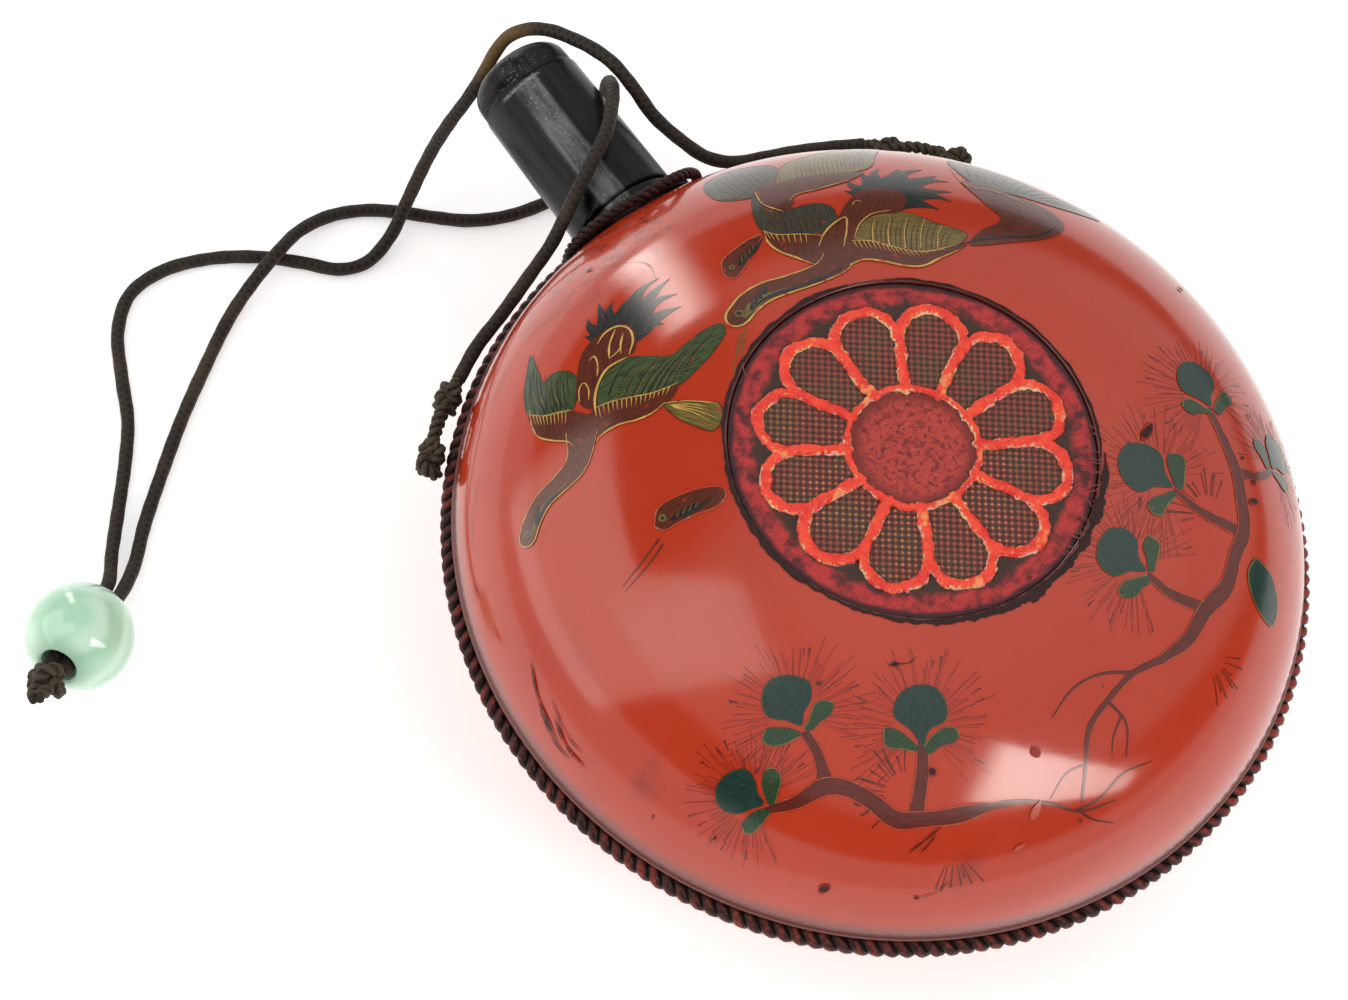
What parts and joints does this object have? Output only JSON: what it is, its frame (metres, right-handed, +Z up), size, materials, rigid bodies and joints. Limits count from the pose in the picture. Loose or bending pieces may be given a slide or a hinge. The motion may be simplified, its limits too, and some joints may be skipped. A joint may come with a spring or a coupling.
{
  "type": "powder flask",
  "caption": "Round red lacquered powder flask with painted geese and pine, a flower medallion in each face, a rope-moulded rim, a black capped spout, and cords with a green bead.",
  "frame": {"origin": "middle of the back panel, on the surface that the flask lies on", "axes": "+Z up, from the back face to the front face; +Y along the spout, towards the cap"},
  "size_m": [0.1762, 0.1713, 0.0608],
  "materials": {
    "red_lacquer": "glossy red lacquer over wood, with a painted picture",
    "panel_lacquer": "crimson lacquer with orange-red tracery, worn and chipped",
    "rope_lacquer": "black lacquer worn to red along the strands",
    "black_lacquer": "satin black lacquer, worn grey in places",
    "dark_cord": "dark brown braided cord",
    "green_bead": "glossy pale green with white swirls"
  },
  "bodies": {
    "root": {"flask_body": "red_lacquer", "rim_rope": "rope_lacquer", "front_panel": "panel_lacquer", "back_panel": "panel_lacquer", "spout": "black_lacquer", "cap": "black_lacquer", "collar_rope": "rope_lacquer", "lug_left": "dark_cord", "lug_right": "dark_cord", "cord_left": "dark_cord", "cord_right": "dark_cord", "bead": "green_bead", "end_knot": "dark_cord"}
  },
  "joints": []
}
